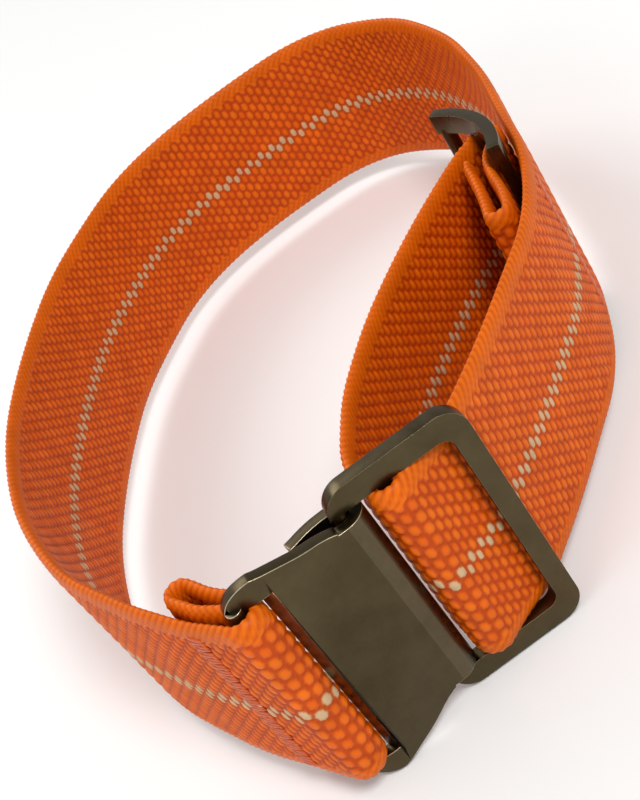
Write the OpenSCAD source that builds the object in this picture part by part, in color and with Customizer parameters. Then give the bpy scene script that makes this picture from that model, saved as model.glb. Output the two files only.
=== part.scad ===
// Woven elastic wrist strap with a hook clasp, standing on the lower edge of its clasp

/* [Webbing] */
// Width of the webbing
web_w = 18; // [16:0.5:20]
// Thickness of the webbing
web_t = 1; // [0.8:0.05:1.1]
// Gap between stacked layers at a sewn end
fold_eye = 0.7; // [0.6:0.05:0.8]
// Width of a bar tack along the webbing
tack_w = 1.8; // [1.2:0.1:2.4]

/* [Clasp] */
// Height of the hook, ring and slider, across the webbing
clasp_h = 22; // [21.5:0.1:23]
// Diameter of the round bars that carry webbing or the hook
bar_d = 1.3; // [1.1:0.05:1.4]
// Thickness of the ring's plate
ring_t = 1.3; // [1:0.1:1.4]
// Width of the ring, from its outer bar to its hook bar
ring_w = 11.4; // [11:0.1:12]
// Thickness of the hook plate
hook_t = 1; // [0.8:0.05:1.1]
// Height of the curled end of the hook
curl_h = 17.4; // [15:0.1:17.6]
// Radius of the slider's arch
slider_r = 11.3; // [11:0.1:12]

/* [Fits] */
// Running gap round a bar
run_gap = 0.05; // [0.02:0.01:0.1]

/* [Quality] */
// Facets on round shapes
facets = 48; // [32:8:96]
// Steps along each arc of a strip
arc_steps = 5; // [2:1:8]
// Steps round a fold
fold_steps = 12; // [6:2:24]

/* [Hidden] */
$fn = facets;

web_z = (clasp_h - web_w) / 2;
bar_r = bar_d / 2;
wrap_r = bar_r + run_gap + web_t / 2;
eye_r = (web_t + fold_eye) / 2;
arm_h = web_z - 0.1;
gap = 0.04;
curl_r = bar_r + 2 * run_gap + hook_t / 2;
curl_z = (clasp_h - curl_h) / 2;

orange = [0.93, 0.36, 0.06];
bronze = [0.38, 0.33, 0.22];
thread = [0.95, 0.42, 0.1];

// Bar centres, seen along the bars
ring_bar = [-2.7, -37.9];
hook_bar = [-6.45, -37.9];
end_bar = [-15.6, -40.3];
slider_mid = [10.8, -7.4];
slider_top_a = 30;
slider_bar_a = 6;
slider_low_a = -25;
slider_bar = slider_mid + slider_r * [cos(slider_bar_a), sin(slider_bar_a)];

// Centreline of the webbing, from the clasp round the wrist and back
ring_entry_dir = heading(221);
ring_wrap_dir = heading(213);
strand_low = [4.6, -35];
strand_top = [25, -4];
loop_end = [-24.9, -27.4];
lead_start = [-24.7, -27.9];
strand_path = [strand_low, [12, -28], [18.6, -20.6], [22.8, -12], strand_top];
loop_path = [
    strand_top, [27.6, 6.5], [28.8, 18], [26.8, 30], [20, 39.2], [8, 41.5],
    [-4.2, 39.3], [-15.5, 29.2], [-24, 13.5], [-28.2, -1], [-28.5, -14.5], loop_end
];
lead_dir = unit([0.62, -0.78]);
lead_path = [lead_start, [-21.8, -33.4], [-18.8, -38], end_bar - wrap_r * left(lead_dir)];
inner_path = [
    ring_bar - [wrap_r, 0], [-4.1, -34.4], [-2.2, -28.8], [2.6, -21.5], [8.7, -15],
    [15.2, -9.4], [19.5, -6.3], slider_bar + wrap_r * left(heading(45))
];
slider_exit = slider_bar + wrap_r * left(heading(225));
slider_fold = [18.2, -18];
slider_fold_dir = heading(250);
slider_layer_path = [slider_exit, [20.5, -9.7], [19.7, -12.2], [19.1, -15.1], slider_fold];
slider_back_path = [
    slider_fold + 2 * eye_r * right(slider_fold_dir), [17.6, -14.3], [18.4, -11.2], [19.1, -8.6]
];
hook_exit_a = 172;
hook_fold = [-19.45, -34.55];
hook_fold_dir = heading(120);
hook_layer_path = [end_bar - wrap_r * left(heading(hook_exit_a)), [-17.4, -37.7], hook_fold];
hook_back_path = [hook_fold + 2 * eye_r * right(hook_fold_dir), [-16.6, -36.3], [-15.2, -38.2]];

// Hook plate outline, seen flat
slot_near = -12.9;
slot_chamfer = 1;
hook_end = -16.6;
taper_start = -13.5;
taper_end = -6.8;
plate_path = [[-11, -40.05], [-14, -40.4], [hook_end, -39.5]];
tongue_path = [[-10.6, -37.3], [-8.6, -36.75]];
plate_start = hook_bar - [0.75, curl_r];

function heading(a) = [cos(a), sin(a)];
function left(v) = [-v[1], v[0]];
function right(v) = [v[1], -v[0]];
function unit(v) = v / norm(v);

// Direction of the circle through three points, at the middle one
function mid_dir(a, b, c) = unit((b - a) / ((b - a) * (b - a)) + (c - b) / ((c - b) * (c - b)));
function path_dir(p, i, first, last) =
    i == 0 ? first : i == len(p) - 1 ? last : mid_dir(p[i - 1], p[i], p[i + 1]);

// Reach of the two equal tangents that join two directed points with a pair of arcs
function reach(v, t, bend) =
    bend < 0.00001
        ? v * v / (2 * v * t)
        : (sqrt((v * t) * (v * t) + 2 * bend * v * v) - v * t) / (2 * bend);

function turn(v, a) = [v[0] * cos(a) - v[1] * sin(a), v[0] * sin(a) + v[1] * cos(a)];

// Points and directions along one arc from p to q, leaving p along d
function arc_samples(p, q, d) =
    let (chord = q - p, a = atan2(chord * left(d), chord * d))
    [for (i = [0 : arc_steps - 1])
        let (u = i / arc_steps, reached = abs(a) < 0.01 ? u : sin(a * u) / sin(a))
        [p + norm(chord) * reached * turn(d, a * u), turn(d, 2 * a * u)]];

// Two arcs from a to b that meet smoothly and keep the directions given at both ends
function pair_samples(a, b, da, db) =
    let (d = reach(b - a, da + db, 1 - da * db), knee_a = a + d * da, knee_b = b - d * db,
        middle = (knee_a + knee_b) / 2)
    concat(arc_samples(a, middle, da), arc_samples(middle, b, unit(knee_b - knee_a)));

function path_samples(path, first, last) = concat(
    [for (i = [0 : len(path) - 2])
        each pair_samples(path[i], path[i + 1], path_dir(path, i, first, last),
            path_dir(path, i + 1, first, last))],
    [[path[len(path) - 1], last]]
);

// A strip on edge along points and directions
module strip(samples, thick, high) {
    linear_extrude(high) polygon(concat(
        [for (s = samples) s[0] + thick / 2 * left(s[1])],
        [for (i = [len(samples) - 1 : -1 : 0]) samples[i][0] + thick / 2 * right(samples[i][1])]
    ));
}

module webbing(samples) {
    color(orange) translate([0, 0, web_z]) strip(samples, web_t, web_w);
}

// Webbing bent round a point, from one angle through a sweep
module webbing_bend(mid, r, from, sweep) {
    color(orange) translate([mid[0], mid[1], web_z]) rotate(from)
        rotate_extrude(angle = sweep) translate([r - web_t / 2, 0]) square([web_t, web_w]);
}

module upright_bar(at, r) {
    translate([at[0], at[1], arm_h - 0.3]) cylinder(h = clasp_h - 2 * arm_h + 0.6, r = r);
}

// A block of stitches on the outer face, centred on a point of the centreline
module bar_tack(at, dir, high) {
    thick = 0.3;
    color(thread) translate([at[0], at[1], clasp_h / 2]) rotate(atan2(dir[1], dir[0]))
        translate([0, -web_t / 2 - gap, 0]) rotate([90, 0, 0]) linear_extrude(thick) {
            square([tack_w, high - tack_w], center = true);
            for (s = [-1, 1]) translate([0, s * (high - tack_w) / 2]) circle(d = tack_w);
        }
}

// A sewn end: one layer out, a fold to the right and a layer back
module folded_end(layer_path, first, fold_dir, back_path, last) {
    fold = layer_path[len(layer_path) - 1];
    mid = fold + eye_r * right(fold_dir);
    fold_a = atan2(fold_dir[1], fold_dir[0]) + 90;
    webbing(concat(
        path_samples(layer_path, first, fold_dir),
        [for (i = [1 : fold_steps - 1])
            let (a = fold_a - 180 * i / fold_steps) [mid + eye_r * heading(a), heading(a - 90)]],
        path_samples(back_path, -fold_dir, last)
    ));
}

module wrist_loop() {
    webbing(path_samples(loop_path, strand_end_dir(), heading(-62)));
}

module outer_strand() {
    webbing(path_samples(strand_path, -ring_entry_dir, strand_end_dir()));
}

function strand_end_dir() = mid_dir(strand_path[3], strand_top, loop_path[1]);

module ring_wrap() {
    start = ring_bar + wrap_r * left(ring_wrap_dir);
    from = atan2(start[1] - ring_bar[1], start[0] - ring_bar[0]);
    webbing(concat(
        path_samples([strand_low, start], ring_entry_dir, ring_wrap_dir),
        [for (i = [1 : 2 * fold_steps])
            let (a = from - (from + 180) * i / (2 * fold_steps))
                [ring_bar + wrap_r * heading(a), heading(a - 90)]]
    ));
}

module inner_strand() {
    webbing(path_samples(inner_path, heading(90), heading(45)));
}

module slider_wrap() {
    webbing_bend(slider_bar, wrap_r, -45, 180);
}

module slider_tail() {
    folded_end(slider_layer_path, heading(225), slider_fold_dir, slider_back_path, heading(60));
}

module slider_bar_tack() {
    bar_tack([21.765, -14.6], heading(66.7), web_w - 3);
}

module hook_lead() {
    webbing(path_samples(lead_path, heading(-62), lead_dir));
}

module hook_wrap() {
    from = atan2(lead_dir[1], lead_dir[0]) - 90;
    webbing_bend(end_bar, wrap_r, from, hook_exit_a - 90 - from);
}

module hook_tail() {
    folded_end(hook_layer_path, heading(hook_exit_a), hook_fold_dir, hook_back_path, heading(-55));
}

module hook_bar_tack() {
    bar_tack([-18.85, -37.93], heading(-55), web_w - 2);
}

// Tongue behind the plate, and the half turn that joins it to the plate round the ring's bar
module hook_return() {
    steps = 2 * fold_steps;
    strip(concat(
        path_samples(concat(tongue_path, [hook_bar + [0, curl_r]]), heading(14), heading(0)),
        [for (i = [1 : steps])
            let (a = 90 - 180 * i / steps) [hook_bar + curl_r * heading(a), heading(a - 90)]],
        [[plate_start, heading(180)]]
    ), hook_t, curl_h);
}

// Arched plate and arms, before they are cut to their outline
module hook_front() {
    strip(path_samples(concat([plate_start], plate_path), heading(180), heading(157)),
        hook_t, clasp_h);
}

// Flat outline of the hook plate, x along the plate and y up the bars
module hook_outline() {
    corner = 3;
    difference() {
        polygon([
            [hook_end, 0], [taper_start, 0], [taper_end, curl_z], [hook_bar[0], curl_z],
            [hook_bar[0], clasp_h - curl_z], [taper_end, clasp_h - curl_z],
            [taper_start, clasp_h], [hook_end, clasp_h]
        ]);
        translate([slot_near - slot_chamfer - 6, arm_h]) square([6, clasp_h - 2 * arm_h]);
        for (m = [0, 1]) translate([0, m * clasp_h]) mirror([0, m]) difference() {
            translate([hook_end - 1, -1]) square([corner + 1, corner + 1]);
            translate([hook_end + corner, corner]) circle(corner);
        }
    }
}

// All but the chamfer that eases the slot's edge beside the webbing
module slot_chamfer_keep() {
    front = -40.75;
    difference() {
        translate([-20, -45, 0]) cube([20, 10, clasp_h]);
        translate([0, 0, arm_h]) linear_extrude(clasp_h - 2 * arm_h) polygon([
            [slot_near + 0.2, front - 0.2], [slot_near - slot_chamfer - 0.2, front + slot_chamfer + 0.2],
            [slot_near - slot_chamfer - 0.2, front - 1]
        ]);
    }
}

module hook_plate() {
    color(bronze) {
        intersection() {
            hook_front();
            translate([0, -30, 0]) rotate([90, 0, 0]) linear_extrude(20) hook_outline();
            slot_chamfer_keep();
        }
        translate([0, 0, curl_z]) hook_return();
        upright_bar(end_bar, bar_r);
    }
}

module rounded_square(size, r) {
    translate([r, 0]) square([size[0] - 2 * r, size[1]]);
    translate([0, r]) square([size[0], size[1] - 2 * r]);
    for (x = [r, size[0] - r], y = [r, size[1] - r]) translate([x, y]) circle(r);
}

// Flat frame with a plain outer bar and two round bars
module ring() {
    corner = 2;
    left_x = hook_bar[0] - bar_r - 0.05;
    outer_w = 1.6;
    color(bronze) {
        translate([left_x, ring_bar[1] + ring_t / 2, 0]) rotate([90, 0, 0]) linear_extrude(ring_t)
            difference() {
                rounded_square([ring_w, clasp_h], corner);
                translate([-corner, arm_h])
                    rounded_square([ring_w - outer_w + corner, clasp_h - 2 * arm_h], corner / 2);
            }
        upright_bar(hook_bar, bar_r);
        upright_bar(ring_bar, bar_r);
    }
}

// Arched frame with three round bars
module slider() {
    thick = 1.1;
    overhang = 4;
    color(bronze) {
        for (z = [0, clasp_h - arm_h])
            translate([slider_mid[0], slider_mid[1], z]) rotate(slider_low_a - overhang)
                rotate_extrude(angle = slider_top_a - slider_low_a + 2 * overhang)
                    translate([slider_r - thick / 2, 0]) square([thick, arm_h]);
        for (a = [slider_low_a, slider_bar_a, slider_top_a])
            upright_bar(slider_mid + slider_r * heading(a), bar_r - (a == slider_low_a ? 0.1 : 0));
    }
}

wrist_loop();
outer_strand();
ring_wrap();
inner_strand();
slider_wrap();
slider_tail();
slider_bar_tack();
hook_lead();
hook_wrap();
hook_tail();
hook_bar_tack();
hook_plate();
ring();
slider();
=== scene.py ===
import math

import bmesh
import bpy
import numpy as np
from mathutils import Matrix, Vector


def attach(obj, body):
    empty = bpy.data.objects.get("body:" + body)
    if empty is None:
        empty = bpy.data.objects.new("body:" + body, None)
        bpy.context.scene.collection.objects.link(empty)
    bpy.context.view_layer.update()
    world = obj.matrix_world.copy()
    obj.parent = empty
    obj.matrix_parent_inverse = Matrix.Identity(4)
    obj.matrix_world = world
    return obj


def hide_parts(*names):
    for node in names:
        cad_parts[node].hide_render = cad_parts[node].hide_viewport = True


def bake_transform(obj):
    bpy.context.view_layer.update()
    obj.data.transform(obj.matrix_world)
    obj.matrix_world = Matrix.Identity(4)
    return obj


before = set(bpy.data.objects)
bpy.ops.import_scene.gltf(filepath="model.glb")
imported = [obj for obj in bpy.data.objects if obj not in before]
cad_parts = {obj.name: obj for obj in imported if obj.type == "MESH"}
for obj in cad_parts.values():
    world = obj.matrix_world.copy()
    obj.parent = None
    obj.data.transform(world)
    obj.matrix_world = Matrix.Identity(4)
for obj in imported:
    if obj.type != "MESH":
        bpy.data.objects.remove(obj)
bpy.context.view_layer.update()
mm = 0.001

view = {
    "place": (-2.9, -110.4, 74.2),
    "right": (0.8063, -0.3178, -0.4989),
    "up": (0.5916, 0.4332, 0.68),
    "back": (0.0, -0.8434, 0.5373),
    "lens": 60.75,
}


def addCamera():
    data = bpy.data.cameras.new("camera")
    data.lens = view["lens"]
    data.clip_start = 0.005
    camera = bpy.data.objects.new("camera", data)
    bpy.context.scene.collection.objects.link(camera)
    turn = Matrix((view["right"], view["up"], view["back"])).transposed().to_4x4()
    camera.matrix_world = Matrix.Translation(Vector(view["place"]) * mm) @ turn
    bpy.context.scene.camera = camera


addCamera()
print("camera placed")


def heading(degrees):
    return np.array([math.cos(math.radians(degrees)), math.sin(math.radians(degrees))])


def leftOf(v):
    return np.array([-v[1], v[0]])


def unit(v):
    return v / np.linalg.norm(v)


def middleDirection(a, b, c):  # tangent of the circle through three points
    before, after = b - a, c - b
    return unit(before / (before @ before) + after / (after @ after))


def arcPoints(start, stop, direction, steps):
    chord = stop - start
    half = math.atan2(chord @ leftOf(direction), chord @ direction)
    points = []
    for i in range(steps):
        u = i / steps
        reached = u if abs(half) < 1e-4 else math.sin(half * u) / math.sin(half)
        c, s = math.cos(half * u), math.sin(half * u)
        turned = np.array([direction[0] * c - direction[1] * s, direction[0] * s + direction[1] * c])
        points.append(start + np.linalg.norm(chord) * reached * turned)
    return points


def smoothPath(knots, first, last, steps=14):
    knots = [np.array(k, float) for k in knots]
    directions = [first]
    directions += [middleDirection(*knots[i - 1:i + 2]) for i in range(1, len(knots) - 1)]
    directions += [last]
    points = []
    for a, b, da, db in zip(knots, knots[1:], directions, directions[1:]):
        v, t, bend = b - a, da + db, 1 - da @ db
        if bend < 1e-8:
            reach = (v @ v) / (2 * v @ t)
        else:
            reach = (math.sqrt((v @ t) ** 2 + 2 * bend * (v @ v)) - v @ t) / (2 * bend)
        kneeA, kneeB = a + reach * da, b - reach * db
        middle = (kneeA + kneeB) / 2
        points += arcPoints(a, middle, da, steps)
        points += arcPoints(middle, b, unit(kneeB - kneeA), steps)
    return points + [knots[-1]]


def roundTurn(middle, radius, start, sweep, steps=30):
    return [middle + radius * heading(start + sweep * i / steps) for i in range(steps + 1)]


def angleOf(v):
    return math.degrees(math.atan2(v[1], v[0]))


route = {
    "ringBar": np.array([-2.7, -37.9]),
    "endBar": np.array([-15.6, -40.3]),
    "sliderBar": np.array([10.8, -7.4]) + 11.3 * heading(6),
    "wrapRadius": 1.2,
    "eyeRadius": 0.85,
    "strand": [(4.6, -35), (12, -28), (18.6, -20.6), (22.8, -12), (25, -4)],
    "loop": [
        (25, -4), (27.6, 6.5), (28.8, 18), (26.8, 30), (20, 39.2), (8, 41.5), (-4.2, 39.3),
        (-15.5, 29.2), (-24, 13.5), (-28.2, -1), (-28.5, -14.5), (-24.9, -27.4),
    ],
    "lead": [(-24.7, -27.9), (-21.8, -33.4), (-18.8, -38)],
    "inner": [(-4.1, -34.4), (-2.2, -28.8), (2.6, -21.5), (8.7, -15), (15.2, -9.4), (19.5, -6.3)],
    "sliderLayer": [(20.5, -9.7), (19.7, -12.2), (19.1, -15.1), (18.2, -18)],
    "sliderBack": [(17.6, -14.3), (18.4, -11.2), (19.1, -8.6)],
    "hookLayer": [(-17.4, -37.7), (-19.45, -34.55)],
    "hookBack": [(-16.6, -36.3), (-15.2, -38.2)],
}


def foldedEnd(layer, first, foldAngle, back, last):
    radius = route["eyeRadius"]
    fold = heading(foldAngle)
    middle = np.array(layer[-1]) - radius * leftOf(fold)
    turn = roundTurn(middle, radius, foldAngle + 90, -180)
    return smoothPath(layer, first, fold) + turn + smoothPath([turn[-1]] + back, -fold, last)


def centreline():  # one run from the slider's cut end to the hook's, with the runs of each node
    r = route
    wrap = r["wrapRadius"]
    top = [np.array(p, float) for p in (r["strand"][3], r["loop"][0], r["loop"][1])]
    topDirection = middleDirection(*top)
    leadEnd = unit(np.array([0.62, -0.78]))
    sliderIn = r["sliderBar"] + wrap * heading(135)
    sliderOut = r["sliderBar"] + wrap * heading(315)
    ringOut = r["ringBar"] + wrap * heading(303)
    hookIn = r["endBar"] - wrap * leftOf(leadEnd)
    hookAngle = 172
    hookOut = r["endBar"] - wrap * leftOf(heading(hookAngle))
    ringLeft = r["ringBar"] - np.array([wrap, 0])
    tail = foldedEnd([sliderOut] + r["sliderLayer"], heading(225), 250, r["sliderBack"], heading(60))
    sliderTurn = roundTurn(r["sliderBar"], wrap, 135, -180)
    inner = smoothPath([ringLeft] + r["inner"] + [sliderIn], heading(90), heading(45))
    ringTurn = smoothPath([np.array(r["strand"][0]), ringOut], heading(221), heading(213))
    ringTurn += roundTurn(r["ringBar"], wrap, 303, -123)
    strand = smoothPath(r["strand"], heading(41), topDirection)
    loop = smoothPath(r["loop"], topDirection, heading(-62))
    lead = smoothPath(r["lead"] + [hookIn], heading(-62), leadEnd)
    hookTurn = roundTurn(r["endBar"], wrap, angleOf(leadEnd) - 90, hookAngle - angleOf(leadEnd))
    hookTail = foldedEnd([hookOut] + r["hookLayer"], heading(hookAngle), 120, r["hookBack"], heading(-55))
    return [
        ("slider_tail", tail[::-1]), ("slider_wrap", sliderTurn[::-1]), ("inner_strand", inner[::-1]),
        ("ring_wrap", ringTurn[::-1]), ("outer_strand", strand), ("wrist_loop", loop),
        ("hook_lead", lead), ("hook_wrap", hookTurn), ("hook_tail", hookTail),
    ]


def joinRuns(runs):
    points, ends = [], {}
    for name, run in runs:
        for p in run:
            if not points or np.linalg.norm(p - points[-1]) > 1e-3:
                points.append(p)
        ends[name] = len(points) - 1
    points = np.array(points)
    along = np.concatenate([[0], np.cumsum(np.linalg.norm(np.diff(points, axis=0), axis=1))])
    stations, last = {}, 0.0
    for name, _ in runs:
        stations[name] = (last, along[ends[name]])
        last = along[ends[name]]
    return points, along, stations


linePoints, lineAlong, stations = joinRuns(centreline())
webLength = lineAlong[-1]
print("webbing length", round(webLength, 1), "mm")
for name, ends in stations.items():
    print(" ", name, [round(float(x), 1) for x in ends])

weave = {
    "width": 18.0,
    "middle": 11.0,        # height of the webbing's middle
    "columns": 26,
    "columnPitch": 0.61,
    "strandPeriod": 1.33,  # grains along the webbing where it is slack
    "loopPeriod": 1.6,     # and where it is stretched round the wrist
    "ground": 0.33,        # half thickness between the grains
    "rise": 0.2,
    "grainAlong": 0.34,
    "grainAcross": 0.6,
    "lean": 0.06,
    "whiteColumns": (11, 12),
    "selvageThick": 0.4,
    "ribRise": 0.1,
    "rowsPerGrain": 8,
    "samplesPerColumn": 4,
}


def periodAt(s):
    start, stop = stations["wrist_loop"]
    ramp = 12.0
    inside = np.clip((s - start) / ramp, 0, 1) * np.clip((stop - s) / ramp, 0, 1)
    return weave["strandPeriod"] + (weave["loopPeriod"] - weave["strandPeriod"]) * inside


denseAlong = np.arange(0, webLength + 0.05, 0.05)
densePhase = np.concatenate([[0], np.cumsum(0.05 / periodAt(denseAlong[:-1] + 0.025))])


def lineFrame(s):  # point and outward side of the centreline, with the side smoothed over a short stretch
    h = 0.12
    place = np.stack([np.interp(s, lineAlong, linePoints[:, k]) for k in (0, 1)], -1)
    ahead, behind = np.minimum(s + h, webLength), np.maximum(s - h, 0)
    t = np.stack([
        np.interp(ahead, lineAlong, linePoints[:, k]) - np.interp(behind, lineAlong, linePoints[:, k])
        for k in (0, 1)
    ], -1)
    t /= np.linalg.norm(t, axis=-1, keepdims=True)
    return place, np.stack([t[..., 1], -t[..., 0]], -1)


def sectionOutline():  # (across, through) and its outward normal, once round the webbing
    w = weave
    half = w["columns"] * w["columnPitch"] / 2
    face = np.linspace(-half, half, w["columns"] * w["samplesPerColumn"] + 1)
    roll = w["width"] / 2 - half
    a = np.linspace(0, math.pi, 10)[1:-1]
    rows = [(v, w["ground"], 0, 1) for v in face]
    rows += [(half + roll * math.sin(x), w["ground"] * math.cos(x), math.sin(x), math.cos(x)) for x in a]
    rows += [(v, -w["ground"], 0, -1) for v in face[::-1]]
    rows += [(-half - roll * math.sin(x), -w["ground"] * math.cos(x), -math.sin(x), -math.cos(x)) for x in a]
    return np.array(rows)


section = sectionOutline()


def hashed(a, b):  # a steady pseudo-random number for each grain
    x = np.sin(a * 12.9898 + b * 78.233) * 43758.5453
    return x - np.floor(x)


def grainField(phase, across, side, period):
    w = weave
    column = across / w["columnPitch"] + w["columns"] / 2
    best = np.zeros_like(phase)
    white = np.zeros_like(phase)
    tone = np.full_like(phase, 0.5)
    for step in (-1, 0, 1):
        c = np.floor(column) + step
        known = (c >= 0) & (c < w["columns"])
        offset = 0.5 * np.mod(c + (side < 0), 2)
        n = np.round(phase - offset)
        dAcross = across - (c + 0.5 - w["columns"] / 2) * w["columnPitch"]
        dAlong = (phase - offset - n) * period + w["lean"] * dAcross * np.sign(side + 0.01)
        chance = hashed(n, c + 40 * (side < 0))
        size = 0.94 + 0.12 * chance
        long = w["grainAlong"] * period / w["strandPeriod"]
        q = 1 - (dAlong / (long * size)) ** 2 - (dAcross / (w["grainAcross"] * size)) ** 2
        dome = np.where(known, np.sqrt(np.clip(q, 0, 1)), 0)
        higher = dome > best
        best = np.where(higher, dome, best)
        white = np.where(higher, np.isin(c, w["whiteColumns"]), white)
        tone = np.where(higher, chance, tone)
    return best, white, tone


swells = {"hook_wrap": (route["endBar"], 0.23), "ring_wrap": (route["ringBar"], 0.17)}


def swellAt(s, place, outward):  # the webbing is fuller on the outer side of a wrap round a bar
    total, share = np.zeros_like(s), np.zeros_like(s)
    for node, (bar, amount) in swells.items():
        start, stop = stations[node]
        reach = (stop - start) / 2 + 1.2
        near = np.clip(1 - np.abs(s - (start + stop) / 2) / reach, 0, 1)
        window = near * near * (3 - 2 * near)
        window = np.minimum(1, 1.6 * window)
        side = np.sign(np.sum((place - bar) * outward, -1))
        total += amount * window * side
        share += window
    return total, share


def webbingMesh(name, start, stop):
    w = weave
    lowPhase, highPhase = np.interp([start, stop], denseAlong, densePhase)
    rows = w["rowsPerGrain"]
    inside = np.arange(math.floor(lowPhase * rows) + 1, math.ceil(highPhase * rows)) / rows
    inside = inside[(inside > lowPhase + 0.25 / rows) & (inside < highPhase - 0.25 / rows)]
    phases = np.concatenate([[lowPhase], inside, [highPhase]])
    s = np.interp(phases, densePhase, denseAlong)
    s[0], s[-1] = start, stop
    count, girth = len(s), len(section)

    form = bmesh.new()  # a flat grid, one row for each station and one more column to close it
    bmesh.ops.create_grid(form, x_segments=count - 1, y_segments=girth, size=1)
    mesh = bpy.data.meshes.new(name)
    form.to_mesh(mesh)
    form.free()
    co = np.zeros(len(mesh.vertices) * 3)
    mesh.vertices.foreach_get("co", co)
    co = co.reshape(-1, 3)
    i = np.round((co[:, 0] + 1) / 2 * (count - 1)).astype(int)
    j = np.round((co[:, 1] + 1) / 2 * girth).astype(int) % girth

    place, outward = lineFrame(s)
    across, through, nAcross, nThrough = section[j].T
    along, phase = s[i], phases[i]
    period = periodAt(along)
    swell, wrapped = swellAt(s, place, outward)
    swell, wrapped = swell[i], wrapped[i]
    rise, white, tone = grainField(phase, across, through, period * (1 - 0.34 * wrapped))
    rib = 0.5 + 0.5 * np.cos(2 * math.pi * (2 * phase - 0.9 * across / w["columnPitch"]))
    half = w["columns"] * w["columnPitch"] / 2
    edge = np.clip((np.abs(across) - half + 0.42) / 0.3, 0, 1)
    lift = rise * w["rise"] * (1 - edge)
    lift += edge * (w["selvageThick"] - w["ground"] + rib * w["ribRise"])
    wave = waistAt(along)
    up = (across + nAcross * lift) * wave
    fuller = np.where(np.sign(swell) == np.sign(nThrough), swell, 0)
    out = through + nThrough * lift + fuller * np.abs(nThrough)
    co[:, :2] = place[i] + outward[i] * out[:, None]
    co[:, 2] = w["middle"] + up
    mesh.vertices.foreach_set("co", (co * mm).ravel())

    grain = mesh.attributes.new("grain", "FLOAT_VECTOR", "POINT")
    # height drives the painted shade in the hollows of the weave and between the selvage ribs
    height = rise * (1 - edge) + edge * (0.45 + 0.5 * rib)
    grain.data.foreach_set("vector", np.stack([white * (1 - edge), height, tone], -1).ravel())
    cloth = mesh.attributes.new("cloth", "FLOAT_VECTOR", "POINT")
    cloth.data.foreach_set("vector", np.stack([along, across, edge], -1).ravel())

    form = bmesh.new()
    form.from_mesh(mesh)
    bmesh.ops.remove_doubles(form, verts=form.verts, dist=1e-7)
    for f in form.faces:
        f.smooth = True
    rims = [e for e in form.edges if e.is_boundary]
    for e in rims:
        e.smooth = False
    bmesh.ops.holes_fill(form, edges=rims, sides=0)
    for f in form.faces:
        if len(f.verts) > 4:
            f.smooth = False
    bmesh.ops.recalc_face_normals(form, faces=form.faces)
    form.to_mesh(mesh)
    form.free()
    return mesh


waists = {  # where stitches pull the webbing in: station, depth and half length
    "sliderTack": [stations["outer_strand"][0] + 27.5, 0.022, 2.6],
    "hookTack": [stations["hook_lead"][0] + 11.6, 0.03, 2.4],
}


def waistAt(s):
    wave = np.ones_like(s)
    for middle, depth, half in waists.values():
        wave -= depth * np.exp(-((s - middle) / half) ** 2)
    return wave


def newMaterial(name):
    material = bpy.data.materials.new(name)
    material.use_nodes = True
    nodes = material.node_tree.nodes
    nodes.clear()
    shader = nodes.new("ShaderNodeBsdfPrincipled")
    output = nodes.new("ShaderNodeOutputMaterial")
    material.node_tree.links.new(shader.outputs[0], output.inputs[0])
    return material, nodes, material.node_tree.links, shader


def placeNode(nodes, kind, **values):
    node = nodes.new(kind)
    for key, value in values.items():
        if key in node.inputs:
            node.inputs[key].default_value = value
        else:
            setattr(node, key, value)
    return node


def mixColour(nodes, links, factor, a, b, blend="MIX"):
    node = nodes.new("ShaderNodeMix")
    node.data_type = "RGBA"
    node.blend_type = blend
    for socket, value in ((node.inputs[0], factor), (node.inputs[6], a), (node.inputs[7], b)):
        if isinstance(value, bpy.types.NodeSocket):
            links.new(value, socket)
        else:
            socket.default_value = value
    return node.outputs[2]


def mathNode(nodes, links, operation, a, b=0.0, clamp=False):
    node = nodes.new("ShaderNodeMath")
    node.operation = operation
    node.use_clamp = clamp
    for socket, value in ((node.inputs[0], a), (node.inputs[1], b)):
        if isinstance(value, bpy.types.NodeSocket):
            links.new(value, socket)
        else:
            socket.default_value = value
    return node.outputs[0]


def mapRange(nodes, links, value, fromRange=(0.0, 1.0), toRange=(0.0, 1.0), smooth=False):
    node = nodes.new("ShaderNodeMapRange")
    if smooth:
        node.interpolation_type = "SMOOTHSTEP"
    for label, amount in zip(("From Min", "From Max", "To Min", "To Max"), (*fromRange, *toRange)):
        node.inputs[label].default_value = amount
    links.new(value, node.inputs["Value"])
    return node.outputs[0]


def newGroup(name, inputs, outputs):
    group = bpy.data.node_groups.new(name, "ShaderNodeTree")
    for label, kind, value in inputs:
        socket = group.interface.new_socket(name=label, in_out="INPUT", socket_type=kind)
        if value is not None:
            socket.default_value = value
    for label, kind in outputs:
        group.interface.new_socket(name=label, in_out="OUTPUT", socket_type=kind)
    return group, group.nodes.new("NodeGroupInput"), group.nodes.new("NodeGroupOutput")


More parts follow.
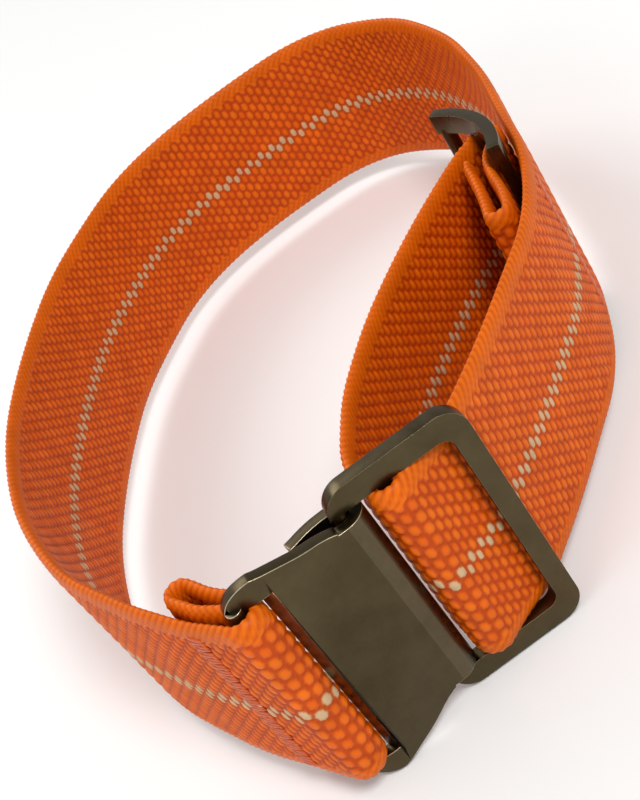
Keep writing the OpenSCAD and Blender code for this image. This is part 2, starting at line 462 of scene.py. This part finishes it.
def makeFibreGroup():  # fine filaments that run along one axis of a pattern, with soft clumps
    group, given, made = newGroup(
        "filaments",
        [("Vector", "NodeSocketVector", None), ("Fineness", "NodeSocketFloat", 6.0),
         ("Stretch", "NodeSocketVector", (1.0, 1.0, 1.0))],
        [("Strands", "NodeSocketFloat"), ("Clumps", "NodeSocketFloat")],
    )
    nodes, links = group.nodes, group.links
    scaled = placeNode(nodes, "ShaderNodeVectorMath", operation="MULTIPLY")
    links.new(given.outputs["Vector"], scaled.inputs[0])
    links.new(given.outputs["Stretch"], scaled.inputs[1])
    strands = placeNode(nodes, "ShaderNodeTexNoise", Detail=2.0, Roughness=0.6)
    links.new(scaled.outputs[0], strands.inputs["Vector"])
    links.new(given.outputs["Fineness"], strands.inputs["Scale"])
    clumps = placeNode(nodes, "ShaderNodeTexNoise", Scale=0.35, Detail=3.0, Roughness=0.55)
    links.new(given.outputs["Vector"], clumps.inputs["Vector"])
    links.new(strands.outputs["Fac"], made.inputs["Strands"])
    links.new(clumps.outputs["Fac"], made.inputs["Clumps"])
    return group


fibreGroup = makeFibreGroup()

webbingLook = {
    # the valley colours are painted shade for the hollows between grains
    "valleyShade": (0.5, 0.058, 0.0008, 1),
    "crown": (0.72, 0.112, 0.001, 1),
    "brightCrown": (0.8, 0.155, 0.003, 1),
    "whiteCrown": (0.6, 0.4, 0.22, 1),
    "whiteValleyShade": (0.5, 0.08, 0.004, 1),
    "selvage": (0.78, 0.15, 0.001, 1),
    "roughness": 0.4,
    "specular": 0.16,
}


def makeWebbingMaterial():
    look = webbingLook
    material, nodes, links, shader = newMaterial("orangeWebbing")
    grain = placeNode(nodes, "ShaderNodeAttribute", attribute_name="grain")
    cloth = placeNode(nodes, "ShaderNodeAttribute", attribute_name="cloth")
    split = nodes.new("ShaderNodeSeparateXYZ")
    links.new(grain.outputs["Vector"], split.inputs[0])
    clothSplit = nodes.new("ShaderNodeSeparateXYZ")
    links.new(cloth.outputs["Vector"], clothSplit.inputs[0])
    fibres = nodes.new("ShaderNodeGroup")
    fibres.node_tree = fibreGroup
    fibres.inputs["Fineness"].default_value = 5.0
    fibres.inputs["Stretch"].default_value = (2.4, 0.7, 1.0)
    links.new(cloth.outputs["Vector"], fibres.inputs["Vector"])
    # grain height mixes painted shade into the hollows between grains, with the crown colour on top
    height = mapRange(nodes, links, split.outputs[1], (0.2, 1.0), smooth=True)
    crown = mixColour(nodes, links, split.outputs[2], look["crown"], look["brightCrown"])
    crown = mixColour(nodes, links, clothSplit.outputs[2], crown, look["selvage"])
    orange = mixColour(nodes, links, height, look["valleyShade"], crown)
    # the white columns take painted shade in their hollows as well
    paleHeight = mapRange(nodes, links, split.outputs[1], (0.3, 0.8), smooth=True)
    pale = mixColour(nodes, links, paleHeight, look["whiteValleyShade"], look["whiteCrown"])
    whiteness = mapRange(nodes, links, split.outputs[0], (0.3, 0.7))
    base = mixColour(nodes, links, whiteness, orange, pale)
    shade = mapRange(nodes, links, fibres.outputs["Clumps"], (0.3, 0.7), (0.84, 1.0))
    shaded = nodes.new("ShaderNodeVectorMath")
    shaded.operation = "SCALE"
    links.new(base, shaded.inputs[0])
    links.new(shade, shaded.inputs["Scale"])
    links.new(shaded.outputs[0], shader.inputs["Base Color"])
    spread = (look["roughness"] - 0.1, look["roughness"] + 0.2)
    rough = mapRange(nodes, links, fibres.outputs["Strands"], toRange=spread)
    links.new(rough, shader.inputs["Roughness"])
    bump = placeNode(nodes, "ShaderNodeBump", Strength=0.35, Distance=0.00006)
    links.new(fibres.outputs["Strands"], bump.inputs["Height"])
    links.new(bump.outputs[0], shader.inputs["Normal"])
    shader.inputs["Specular IOR Level"].default_value = look["specular"]
    return material


threadLook = {"shaded": (0.4, 0.045, 0.001, 1), "lit": (0.66, 0.1, 0.001, 1), "sheen": 0.2}


def makeThreadMaterial():
    look = threadLook
    material, nodes, links, shader = newMaterial("tackThread")
    place = nodes.new("ShaderNodeTexCoord")
    fibres = nodes.new("ShaderNodeGroup")
    fibres.node_tree = fibreGroup
    fibres.inputs["Fineness"].default_value = 3500.0
    fibres.inputs["Stretch"].default_value = (0.6, 0.6, 2.5)
    links.new(place.outputs["Object"], fibres.inputs["Vector"])
    colour = mixColour(nodes, links, fibres.outputs["Strands"], look["shaded"], look["lit"])
    links.new(colour, shader.inputs["Base Color"])
    bump = placeNode(nodes, "ShaderNodeBump", Strength=0.3, Distance=0.00004)
    links.new(fibres.outputs["Strands"], bump.inputs["Height"])
    links.new(bump.outputs[0], shader.inputs["Normal"])
    rough = mapRange(nodes, links, fibres.outputs["Strands"], toRange=(0.35, 0.6))
    links.new(rough, shader.inputs["Roughness"])
    shader.inputs["Sheen Weight"].default_value = look["sheen"]
    return material


steelLook = {
    "dark": (0.062, 0.046, 0.023, 1),
    "light": (0.1, 0.077, 0.04, 1),
    # pale colour for real wear on the edges and for painted highlight
    "wornAndHighlight": (0.66, 0.55, 0.38, 1),
    "roughness": 0.32,
    "brush": (1.0, 1.0, 0.08),  # scratches are long along the bars
}


def makeBrushedGroup():  # long fine scratches over soft patches of patina
    group, given, made = newGroup(
        "brushedSteel",
        [("Vector", "NodeSocketVector", None), ("Along", "NodeSocketVector", (1.0, 1.0, 1.0)),
         ("Dark", "NodeSocketColor", (0.1, 0.1, 0.1, 1)), ("Light", "NodeSocketColor", (0.2, 0.2, 0.2, 1)),
         ("WornAndHighlight", "NodeSocketColor", (0.5, 0.5, 0.5, 1)), ("WearAndHighlight", "NodeSocketFloat", 0.0),
         ("Roughness", "NodeSocketFloat", 0.35)],
        [("Color", "NodeSocketColor"), ("Roughness", "NodeSocketFloat"), ("Height", "NodeSocketFloat")],
    )
    nodes, links = group.nodes, group.links
    stretched = placeNode(nodes, "ShaderNodeVectorMath", operation="MULTIPLY")
    links.new(given.outputs["Vector"], stretched.inputs[0])
    links.new(given.outputs["Along"], stretched.inputs[1])
    scratches = placeNode(nodes, "ShaderNodeTexNoise", Scale=900.0, Detail=4.0, Roughness=0.7)
    links.new(stretched.outputs[0], scratches.inputs["Vector"])
    patina = placeNode(nodes, "ShaderNodeTexNoise", Scale=420.0, Detail=5.0, Roughness=0.65)
    links.new(given.outputs["Vector"], patina.inputs["Vector"])
    broad = placeNode(nodes, "ShaderNodeTexNoise", Scale=90.0, Detail=2.0, Roughness=0.5)
    links.new(given.outputs["Vector"], broad.inputs["Vector"])
    both = mathNode(nodes, links, "ADD", mathNode(nodes, links, "MULTIPLY", patina.outputs["Fac"], 0.45),
                    mathNode(nodes, links, "MULTIPLY", broad.outputs["Fac"], 0.55))
    ramp = mapRange(nodes, links, both, (0.35, 0.68))
    colour = mixColour(nodes, links, ramp, given.outputs["Dark"], given.outputs["Light"])
    # the pale colour is partly real wear on the edges and partly painted highlight
    wearAndHighlightAmount = mathNode(nodes, links, "MULTIPLY", given.outputs["WearAndHighlight"],
                      mathNode(nodes, links, "ADD", patina.outputs["Fac"], 0.25), True)
    colour = mixColour(nodes, links, wearAndHighlightAmount, colour, given.outputs["WornAndHighlight"])
    links.new(colour, made.inputs["Color"])
    roughness = given.outputs["Roughness"]
    swings = []
    for noise, amount in ((scratches, 0.35), (patina, 0.25)):
        centred = mathNode(nodes, links, "SUBTRACT", noise.outputs["Fac"], 0.5)
        swings.append(mathNode(nodes, links, "MULTIPLY", centred, amount))
    swing = mathNode(nodes, links, "ADD", *swings)
    links.new(mathNode(nodes, links, "ADD", roughness, swing, True), made.inputs["Roughness"])
    height = mathNode(nodes, links, "ADD", scratches.outputs["Fac"], patina.outputs["Fac"])
    links.new(height, made.inputs["Height"])
    return group


brushedGroup = makeBrushedGroup()


def makeSteelMaterial(name):
    look = steelLook
    material, nodes, links, shader = newMaterial(name)
    place = nodes.new("ShaderNodeTexCoord")
    brushed = nodes.new("ShaderNodeGroup")
    brushed.node_tree = brushedGroup
    brushed.inputs["Along"].default_value = look["brush"]
    brushed.inputs["Dark"].default_value = look["dark"]
    brushed.inputs["Light"].default_value = look["light"]
    brushed.inputs["WornAndHighlight"].default_value = look["wornAndHighlight"]
    brushed.inputs["Roughness"].default_value = look["roughness"]
    wearAndHighlight = placeNode(nodes, "ShaderNodeAttribute", attribute_name="wearAndHighlight")
    links.new(wearAndHighlight.outputs["Fac"], brushed.inputs["WearAndHighlight"])
    links.new(place.outputs["Object"], brushed.inputs["Vector"])
    links.new(brushed.outputs["Color"], shader.inputs["Base Color"])
    links.new(brushed.outputs["Roughness"], shader.inputs["Roughness"])
    bump = placeNode(nodes, "ShaderNodeBump", Strength=0.18, Distance=0.00003)
    links.new(brushed.outputs["Height"], bump.inputs["Height"])
    links.new(bump.outputs[0], shader.inputs["Normal"])
    shader.inputs["Metallic"].default_value = 1.0
    return material


webbingMaterial = makeWebbingMaterial()
threadMaterial = makeThreadMaterial()
steelMaterial = makeSteelMaterial("bronzeSteel")
print("materials made")


def addPiece(name, mesh, material):
    mesh.materials.append(material)
    piece = bpy.data.objects.new(name, mesh)
    bpy.context.scene.collection.objects.link(piece)
    return piece


def addWebbing(name, node, start, stop):
    piece = addPiece(name, webbingMesh(name, start, stop), webbingMaterial)
    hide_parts(node)
    return piece


leadOverlap = 0.54  # the loop runs this far past the joint, into the lead

for name, node, body in (
    ("sliderTailWeb", "slider_tail", "band"), ("sliderWrapWeb", "slider_wrap", "band"),
    ("innerWeb", "inner_strand", "band"), ("ringWrapWeb", "ring_wrap", "band"),
    ("outerWeb", "outer_strand", "band"), ("hookLeadWeb", "hook_lead", "hook"),
    ("hookWrapWeb", "hook_wrap", "hook"), ("hookTailWeb", "hook_tail", "hook"),
):
    start, stop = stations[node]
    if node == "hook_lead":
        start += leadOverlap
    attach(addWebbing(name, node, start, stop), body)

loopStart, loopStop = stations["wrist_loop"]
loopSplit = {
    "half": loopStart + 58.0, "bend": loopStop - 36.0, "reach": loopStop - 26.0,
    "end": loopStop + leadOverlap,
}
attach(addWebbing("loopNearWeb", "wrist_loop", loopStart, loopSplit["half"]), "band")
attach(addWebbing("loopFarWeb", "wrist_loop", loopSplit["half"], loopSplit["bend"]), "band")


def pointAt(s):
    place, _ = lineFrame(np.array([s]))
    return Vector((place[0][0], place[0][1], weave["middle"])) * mm


bendWeb = addWebbing("loopBendWeb", "wrist_loop", loopSplit["bend"], loopSplit["reach"])
pointAt(loopSplit["bend"])
pointAt(loopSplit["reach"])
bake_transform(bendWeb)
reachWeb = addWebbing("loopReachWeb", "wrist_loop", loopSplit["reach"], loopSplit["end"])
pointAt(loopSplit["reach"])
pointAt(loopSplit["end"])
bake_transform(reachWeb)
print("webbing woven")


tacks = {
    "slider": {
        "at": (21.765, -14.6), "heading": 66.7, "high": 15.0, "body": "band", "node": "slider_bar_tack",
    },
    "hook": {
        "at": (-18.85, -37.93), "heading": -55, "high": 16.0, "body": "hook", "node": "hook_bar_tack",
    },
}
stitch = {"pitch": 0.36, "long": 1.7, "thick": 0.15, "stand": 0.46, "lean": 0.12}


def tackMesh(name, tack):
    form = bmesh.new()
    along, outward = heading(tack["heading"]), -leftOf(heading(tack["heading"]))
    count = int(tack["high"] / stitch["pitch"])
    for k in range(count):
        lean = stitch["lean"] * (1 if k % 2 else -1)
        shape = bmesh.ops.create_uvsphere(form, u_segments=8, v_segments=6, radius=1.0)["verts"]
        bmesh.ops.scale(form, vec=(stitch["long"] / 2, stitch["thick"], stitch["thick"]), verts=shape)
        bmesh.ops.rotate(form, cent=(0, 0, 0), matrix=Matrix.Rotation(lean, 3, "Y"), verts=shape)
        high = weave["middle"] - tack["high"] / 2 + (k + 0.5) * stitch["pitch"]
        bmesh.ops.translate(form, vec=(0, -stitch["stand"], high), verts=shape)
    turn = Matrix(((along[0], -outward[0], 0), (along[1], -outward[1], 0), (0, 0, 1)))
    bmesh.ops.transform(form, matrix=turn.to_4x4(), verts=form.verts)
    bmesh.ops.translate(form, vec=(tack["at"][0], tack["at"][1], 0), verts=form.verts)
    bmesh.ops.scale(form, vec=(mm, mm, mm), verts=form.verts)
    bmesh.ops.recalc_face_normals(form, faces=form.faces)
    for f in form.faces:
        f.smooth = True
    mesh = bpy.data.meshes.new(name)
    form.to_mesh(mesh)
    form.free()
    return mesh


for name, tack in tacks.items():
    piece = addPiece(name + "Stitches", tackMesh(name + "Stitches", tack), threadMaterial)
    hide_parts(tack["node"])
    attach(piece, tack["body"])
print("bar tacks stitched")


bevels = {"hook_plate": 0.16, "ring": 0.2, "slider": 0.14}
wearAndHighlight = {"edges": 0.9, "slot": 0.5, "bend": 0.07}  # how much pale colour is laid on: real wear and painted highlight on the edges, painted highlight on the slot's edge and the bend


def roundedCopy(node, width):  # the node's own shape, with its outer edges rounded over
    form = bmesh.new()
    form.from_mesh(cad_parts[node].data)
    bmesh.ops.remove_doubles(form, verts=form.verts, dist=2e-6)
    bmesh.ops.dissolve_limit(
        form, angle_limit=math.radians(1), use_dissolve_boundaries=False, verts=form.verts,
        edges=form.edges, delimit=set(),
    )
    sharp = [
        e for e in form.edges
        if len(e.link_faces) == 2 and e.is_convex and e.calc_face_angle(0) > math.radians(35)
    ]
    wornAndHighlight = form.loops.layers.float.new("wearAndHighlight")
    made = bmesh.ops.bevel(
        form, geom=sharp, offset=width * mm, offset_type="OFFSET", affect="EDGES", segments=3,
        profile=0.5, material=-1, clamp_overlap=True, loop_slide=True, miter_outer="ARC",
    )
    # the bevelled edges take the pale colour: partly real wear, partly painted highlight
    for f in made["faces"]:
        for corner in f.loops:
            corner[wornAndHighlight] = wearAndHighlight["edges"]
    if node == "hook_plate":  # painted highlight along the bend and the slot's edge
        for f in form.faces:
            x, y, _ = f.calc_center_median() / mm
            bend = y < -39.2 and -6.4 < x < -5.4
            slotEdge = -13.95 < x < -12.9 and f.normal.x < -0.4 and f.normal.y < -0.4
            for corner in f.loops:
                wearAndHighlightAmount = wearAndHighlight["bend"] if bend else wearAndHighlight["slot"] if slotEdge else 0
                corner[wornAndHighlight] = max(corner[wornAndHighlight], wearAndHighlightAmount)
    for f in form.faces:
        f.smooth = True
    for e in form.edges:
        e.smooth = not (len(e.link_faces) == 2 and e.calc_face_angle(0) > math.radians(38))
    bmesh.ops.triangulate(form, faces=[f for f in form.faces if len(f.verts) > 4])
    mesh = bpy.data.meshes.new(node + "Rounded")
    form.to_mesh(mesh)
    form.free()
    return mesh


for node, name, body in (
    ("hook_plate", "hookPlate", "hook"), ("ring", "ringFrame", "ring"), ("slider", "sliderFrame", "slider"),
):
    piece = addPiece(name, roundedCopy(node, bevels[node]), steelMaterial)
    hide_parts(node)
    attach(piece, body)
print("metal finished")


def addFloor():
    form = bmesh.new()
    bmesh.ops.create_grid(form, x_segments=1, y_segments=1, size=3)
    mesh = bpy.data.meshes.new("floor")
    form.to_mesh(mesh)
    form.free()
    material, _, _, shader = newMaterial("paleFloor")
    shader.inputs["Base Color"].default_value = (0.9, 0.9, 0.89, 1)
    shader.inputs["Roughness"].default_value = 0.9
    mesh.materials.append(material)
    floor = bpy.data.objects.new("floor", mesh)
    bpy.context.scene.collection.objects.link(floor)
    floor.location.z = -0.0002


def addLight(name, place, target, size, power):
    data = bpy.data.lights.new(name, "AREA")
    data.shape = "DISK"
    data.size = size
    data.energy = power
    light = bpy.data.objects.new(name, data)
    bpy.context.scene.collection.objects.link(light)
    light.location = place
    light.rotation_euler = (Vector(target) - Vector(place)).to_track_quat("-Z", "Y").to_euler()


lights = {
    "key": {"place": (0.12, -0.3, 0.42), "size": 0.16, "power": 1.5},
    "fill": {"place": (-0.4, -0.25, 0.3), "size": 0.4, "power": 0.6},
    "back": {"place": (-0.2, 0.4, 0.4), "size": 0.3, "power": 1.0},
}
addFloor()
for name, light in lights.items():
    addLight(name, light["place"], (0, 0, 0.01), light["size"], light["power"])
world = bpy.data.worlds.new("studio")
world.use_nodes = True
background = world.node_tree.nodes["Background"]
background.inputs["Color"].default_value = (1.0, 1.0, 1.0, 1)
background.inputs["Strength"].default_value = 0.53
bpy.context.scene.world = world
bpy.context.scene.view_settings.view_transform = "Standard"
